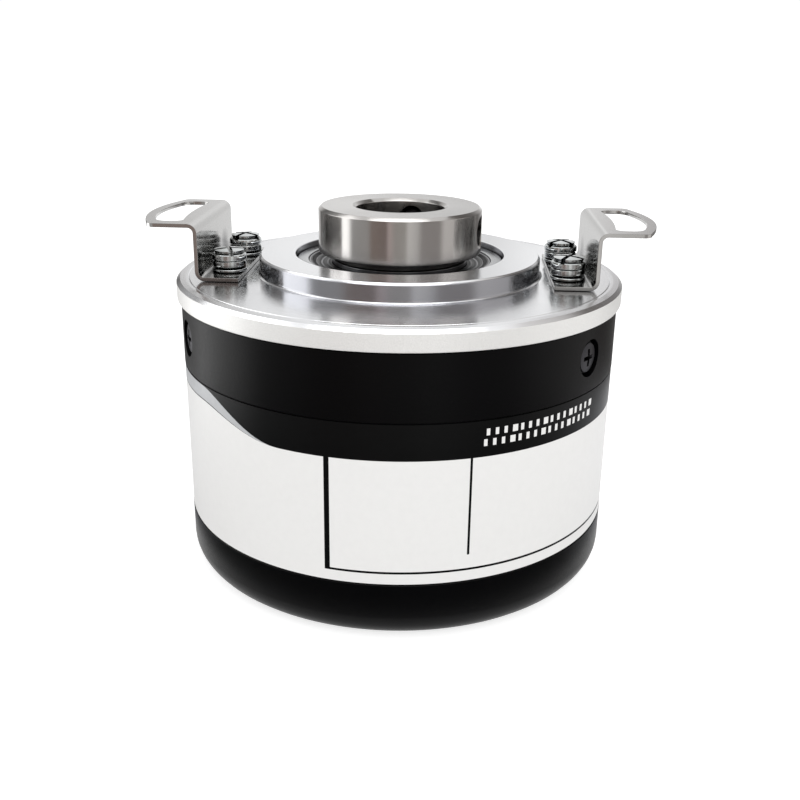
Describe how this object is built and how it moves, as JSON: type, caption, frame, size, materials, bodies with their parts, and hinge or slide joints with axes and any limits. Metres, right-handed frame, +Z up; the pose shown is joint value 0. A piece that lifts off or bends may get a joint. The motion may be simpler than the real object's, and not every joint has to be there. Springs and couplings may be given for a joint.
{
  "type": "rotary encoder",
  "caption": "Hollow-shaft rotary encoder with a round aluminium flange, black housing, two spring mounting plates and a clamping head with set screws.",
  "frame": {"origin": "centre of the flat bottom of the housing, on the shaft axis", "axes": "+Z up the shaft axis towards the clamping head; +X and -X towards the two spring plates; -Y the front, opposite the cable inlet"},
  "size_m": [0.0676, 0.06, 0.0488],
  "materials": {
    "turned_aluminium": "bright turned face with fine lathe rings",
    "black_nylon": "moulded, fine matt texture",
    "label_film": "satin printed polyester film",
    "rubber": "moulded, dull",
    "black_steel": "black oxide",
    "spring_steel": "rolled strip, fine grain",
    "stainless": "turned and brushed",
    "zinc_steel": "bright zinc plate",
    "bearing_steel": "ground and polished",
    "cage_nylon": "moulded, natural colour",
    "brass": "turned",
    "etched_nickel": "thin etched sheet",
    "board_laminate": "solder mask",
    "chip_plastic": "moulded package",
    "connector_nylon": "moulded"
  },
  "bodies": {
    "stator": {"flange": "turned_aluminium", "housing": "black_nylon", "label": "label_film", "cable_inlet": "rubber", "cover_screw_left": "black_steel", "cover_screw_right": "black_steel", "cover_screw_back": "black_steel", "spring_plate_left": "spring_steel", "spring_plate_right": "spring_steel", "housing_gasket": "rubber", "circuit_board": "board_laminate", "light_source": "chip_plastic", "photo_sensor": "chip_plastic", "reticle_mask": "etched_nickel", "processor_chip": "chip_plastic", "line_driver_chip": "chip_plastic", "smoothing_capacitor": "turned_aluminium", "cable_header": "connector_nylon", "flat_washer_left_front": "zinc_steel", "lock_washer_left_front": "zinc_steel", "plate_screw_left_front": "zinc_steel", "flat_washer_left_back": "zinc_steel", "lock_washer_left_back": "zinc_steel", "plate_screw_left_back": "zinc_steel", "flat_washer_right_front": "zinc_steel", "lock_washer_right_front": "zinc_steel", "plate_screw_right_front": "zinc_steel", "flat_washer_right_back": "zinc_steel", "lock_washer_right_back": "zinc_steel", "plate_screw_right_back": "zinc_steel", "front_bearing_outer_ring": "bearing_steel", "front_bearing_shield": "bearing_steel", "rear_bearing_outer_ring": "bearing_steel", "rear_bearing_shield": "bearing_steel", "board_post_front": "brass", "board_screw_front": "zinc_steel", "board_post_left": "brass", "board_screw_left": "zinc_steel", "board_post_right": "brass", "board_screw_right": "zinc_steel"},
    "shaft": {"hollow_shaft": "stainless", "set_screw_side": "black_steel", "set_screw_back": "black_steel", "front_bearing_inner_ring": "bearing_steel", "rear_bearing_inner_ring": "bearing_steel", "bearing_spacer": "stainless", "shaft_clip": "spring_steel", "disc_hub": "brass", "hub_screw_front": "black_steel", "hub_screw_back": "black_steel", "code_disc": "etched_nickel", "disc_clamp_ring": "brass"},
    "front_cage": {"front_bearing_cage": "cage_nylon"},
    "rear_cage": {"rear_bearing_cage": "cage_nylon"}
  },
  "joints": [
    {"name": "shaft_spin", "type": "hinge", "parent": "stator", "child": "shaft", "pos_m": [0, 0, 0.03], "axis": [0, 0, 1], "continuous": true},
    {"name": "front_cage_spin", "type": "hinge", "parent": "stator", "child": "front_cage", "pos_m": [0, 0, 0.0382], "axis": [0, 0, 1], "continuous": true},
    {"name": "rear_cage_spin", "type": "hinge", "parent": "stator", "child": "rear_cage", "pos_m": [0, 0, 0.0265], "axis": [0, 0, 1], "continuous": true}
  ],
  "couplings": [
    {"joint": "front_cage_spin", "follows": "shaft_spin", "ratio": 0.407},
    {"joint": "rear_cage_spin", "follows": "shaft_spin", "ratio": 0.407}
  ]
}
